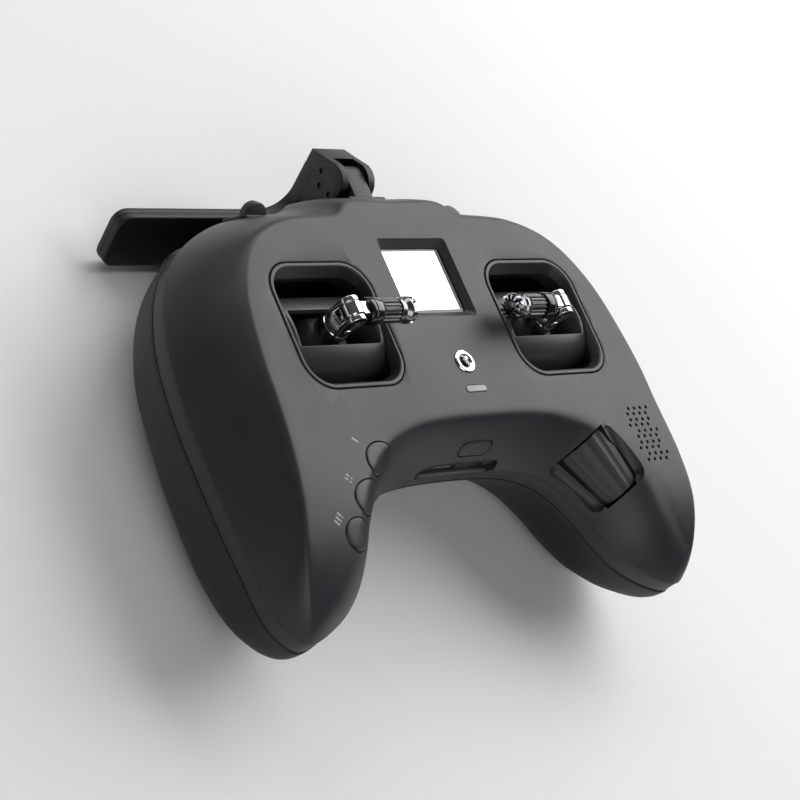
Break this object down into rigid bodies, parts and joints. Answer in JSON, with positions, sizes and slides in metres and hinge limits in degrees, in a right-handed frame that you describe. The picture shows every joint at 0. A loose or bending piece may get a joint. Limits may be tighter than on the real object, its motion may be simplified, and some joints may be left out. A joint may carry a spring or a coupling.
{
  "type": "radio transmitter controller",
  "caption": "Game-pad shaped hand-held radio transmitter with folding-stick gimbals, a small screen, a thumb roller and a folding T antenna.",
  "frame": {"origin": "middle of the bounding box's footprint, on the plane the back rests on", "axes": "+X to the user's right, +Y towards the antenna, +Z out of the face"},
  "size_m": [0.1682, 0.1375, 0.0576],
  "materials": {
    "front_shell": "fine matte moulded plastic",
    "mid_band": "fine matte moulded plastic",
    "rear_shell": "fine matte moulded plastic",
    "case_screws": "turned steel",
    "rear_door": "fine matte moulded plastic",
    "door_screws": "turned steel",
    "battery_pack": "wrapped cells",
    "main_board": "solder-masked board",
    "rf_module": "tinned can",
    "display_bezel": "gloss black",
    "display_lens": "clear window",
    "display_panel": "even pale panel",
    "strap_eyelet": "bright plating",
    "status_light": "frosted light bar",
    "power_button": "fine matte moulded plastic",
    "port_panel": "fine matte moulded plastic",
    "usb_socket": "turned steel",
    "audio_jack": "tinned can",
    "button_page": "fine matte moulded plastic",
    "button_menu": "fine matte moulded plastic",
    "button_exit": "fine matte moulded plastic",
    "button_board": "solder-masked board",
    "speaker_driver": "cone and basket",
    "roller": "fine matte moulded plastic",
    "roller_shaft": "turned steel",
    "roller_bracket": "fine matte moulded plastic",
    "gimbal_bezel_left": "satin moulded plastic",
    "gimbal_bezel_right": "satin moulded plastic",
    "gimbal_housing_left": "fine matte moulded plastic",
    "gimbal_housing_right": "fine matte moulded plastic",
    "gimbal_drum_left": "fine matte moulded plastic",
    "gimbal_drum_right": "fine matte moulded plastic",
    "stick_carrier_left": "fine matte moulded plastic",
    "stick_carrier_right": "fine matte moulded plastic",
    "stick_cup_left": "bright plating",
    "stick_cup_right": "bright plating",
    "stick_knuckle_left": "bright plating",
    "stick_knuckle_right": "bright plating",
    "stick_collar_left": "gloss black anodised ring",
    "stick_collar_right": "gloss black anodised ring",
    "stick_barrel_left": "knurled grey metal",
    "stick_barrel_right": "knurled grey metal",
    "stick_crown_left": "bright plating",
    "stick_crown_right": "bright plating",
    "fold_pin_left": "turned steel",
    "fold_pin_right": "turned steel",
    "toggle_bush_left": "fine matte moulded plastic",
    "toggle_bush_right": "fine matte moulded plastic",
    "toggle_lever_left": "fine matte moulded plastic",
    "toggle_lever_right": "fine matte moulded plastic",
    "shoulder_button_left": "fine matte moulded plastic",
    "shoulder_button_right": "fine matte moulded plastic",
    "antenna_base": "fine matte moulded plastic",
    "antenna_pin": "turned steel",
    "antenna_arm": "fine matte moulded plastic",
    "antenna_half_front": "fine matte moulded plastic",
    "antenna_half_rear": "fine matte moulded plastic",
    "antenna_element": "copper strip"
  },
  "bodies": {
    "case": {"front_shell": "front_shell", "mid_band": "mid_band", "rear_shell": "rear_shell", "case_screws": "case_screws", "rear_door": "rear_door", "door_screws": "door_screws", "battery_pack": "battery_pack", "main_board": "main_board", "rf_module": "rf_module", "display_bezel": "display_bezel", "display_lens": "display_lens", "display_panel": "display_panel", "strap_eyelet": "strap_eyelet", "status_light": "status_light", "port_panel": "port_panel", "usb_socket": "usb_socket", "audio_jack": "audio_jack", "button_board": "button_board", "speaker_driver": "speaker_driver", "roller_shaft": "roller_shaft", "roller_bracket": "roller_bracket", "gimbal_bezel_left": "gimbal_bezel_left", "gimbal_bezel_right": "gimbal_bezel_right", "gimbal_housing_left": "gimbal_housing_left", "gimbal_housing_right": "gimbal_housing_right", "toggle_bush_left": "toggle_bush_left", "toggle_bush_right": "toggle_bush_right", "antenna_base": "antenna_base", "antenna_pin": "antenna_pin"},
    "drum_left": {"gimbal_drum_left": "gimbal_drum_left"},
    "tilt_left": {"stick_carrier_left": "stick_carrier_left", "stick_cup_left": "stick_cup_left", "fold_pin_left": "fold_pin_left"},
    "stick_left": {"stick_knuckle_left": "stick_knuckle_left", "stick_barrel_left": "stick_barrel_left"},
    "collar_left": {"stick_collar_left": "stick_collar_left"},
    "crown_left": {"stick_crown_left": "stick_crown_left"},
    "toggle_left": {"toggle_lever_left": "toggle_lever_left"},
    "shoulder_left": {"shoulder_button_left": "shoulder_button_left"},
    "drum_right": {"gimbal_drum_right": "gimbal_drum_right"},
    "tilt_right": {"stick_carrier_right": "stick_carrier_right", "stick_cup_right": "stick_cup_right", "fold_pin_right": "fold_pin_right"},
    "stick_right": {"stick_knuckle_right": "stick_knuckle_right", "stick_barrel_right": "stick_barrel_right"},
    "collar_right": {"stick_collar_right": "stick_collar_right"},
    "crown_right": {"stick_crown_right": "stick_crown_right"},
    "toggle_right": {"toggle_lever_right": "toggle_lever_right"},
    "shoulder_right": {"shoulder_button_right": "shoulder_button_right"},
    "antenna": {"antenna_arm": "antenna_arm", "antenna_half_front": "antenna_half_front", "antenna_half_rear": "antenna_half_rear", "antenna_element": "antenna_element"},
    "roller": {"roller": "roller"},
    "button_page": {"button_page": "button_page"},
    "button_menu": {"button_menu": "button_menu"},
    "button_exit": {"button_exit": "button_exit"},
    "power_button": {"power_button": "power_button"}
  },
  "joints": [
    {"name": "drum_pitch_left", "type": "hinge", "parent": "case", "child": "drum_left", "pos_m": [-0.04, 0.0067, 0.0335], "axis": [1, 0, 0], "range_deg": [-25, 25], "stiffness_Nm_per_rad": 0.08},
    {"name": "stick_tilt_left", "type": "hinge", "parent": "drum_left", "child": "tilt_left", "pos_m": [-0.04, 0.0067, 0.0335], "axis": [0, 1, 0], "range_deg": [-25, 0], "stiffness_Nm_per_rad": 0.08},
    {"name": "stick_fold_left", "type": "hinge", "parent": "tilt_left", "child": "stick_left", "pos_m": [-0.04, 0.0067, 0.054], "axis": [0, 1, 0], "range_deg": [-90, 0]},
    {"name": "collar_twist_left", "type": "hinge", "parent": "stick_left", "child": "collar_left", "pos_m": [-0.03375, 0.0067, 0.054], "axis": [1, 0, 0], "range_deg": [0, 60]},
    {"name": "crown_length_left", "type": "slide", "parent": "stick_left", "child": "crown_left", "axis": [1, 0, 0], "range_m": [0, 0.0025]},
    {"name": "toggle_throw_left", "type": "hinge", "parent": "case", "child": "toggle_left", "pos_m": [-0.04, 0.04288, 0.03171], "axis": [1, 0, 0], "range_deg": [-48, 0]},
    {"name": "shoulder_press_left", "type": "slide", "parent": "case", "child": "shoulder_left", "axis": [0.2998, -0.9228, 0.2419], "range_m": [0, 0.001], "stiffness_N_per_m": 500},
    {"name": "drum_pitch_right", "type": "hinge", "parent": "case", "child": "drum_right", "pos_m": [0.04, 0.0067, 0.0335], "axis": [1, 0, 0], "range_deg": [-25, 25], "stiffness_Nm_per_rad": 0.08},
    {"name": "stick_tilt_right", "type": "hinge", "parent": "drum_right", "child": "tilt_right", "pos_m": [0.04, 0.0067, 0.0335], "axis": [0, 1, 0], "range_deg": [0, 25], "stiffness_Nm_per_rad": 0.08},
    {"name": "stick_fold_right", "type": "hinge", "parent": "tilt_right", "child": "stick_right", "pos_m": [0.04, 0.0067, 0.054], "axis": [0, 1, 0], "range_deg": [0, 90]},
    {"name": "collar_twist_right", "type": "hinge", "parent": "stick_right", "child": "collar_right", "pos_m": [0.03375, 0.0067, 0.054], "axis": [-1, 0, 0], "range_deg": [0, 60]},
    {"name": "crown_length_right", "type": "slide", "parent": "stick_right", "child": "crown_right", "axis": [-1, 0, 0], "range_m": [0, 0.0025]},
    {"name": "toggle_throw_right", "type": "hinge", "parent": "case", "child": "toggle_right", "pos_m": [0.04, 0.04288, 0.03171], "axis": [1, 0, 0], "range_deg": [0, 48]},
    {"name": "shoulder_press_right", "type": "slide", "parent": "case", "child": "shoulder_right", "axis": [-0.2998, -0.9228, 0.2419], "range_m": [0, 0.001], "stiffness_N_per_m": 500},
    {"name": "antenna_fold", "type": "hinge", "parent": "case", "child": "antenna", "pos_m": [0, 0.0577, 0.035], "axis": [1, 0, 0], "range_deg": [0, 100]},
    {"name": "roller_spin", "type": "hinge", "parent": "case", "child": "roller", "pos_m": [0.049, -0.03463, 0.03588], "axis": [0.4781, -0.8776, -0.0366], "continuous": true},
    {"name": "page_press", "type": "slide", "parent": "case", "child": "button_page", "axis": [-0.2208, 0.3603, -0.9063], "range_m": [0, 0.0007], "stiffness_N_per_m": 400},
    {"name": "menu_press", "type": "slide", "parent": "case", "child": "button_menu", "axis": [-0.3181, 0.3659, -0.8746], "range_m": [0, 0.0007], "stiffness_N_per_m": 400},
    {"name": "exit_press", "type": "slide", "parent": "case", "child": "button_exit", "axis": [-0.2698, 0.4155, -0.8686], "range_m": [0, 0.0007], "stiffness_N_per_m": 400},
    {"name": "power_press", "type": "slide", "parent": "case", "child": "power_button", "axis": [0, 0.9198, -0.3923], "range_m": [0, 0.0005], "stiffness_N_per_m": 500}
  ]
}
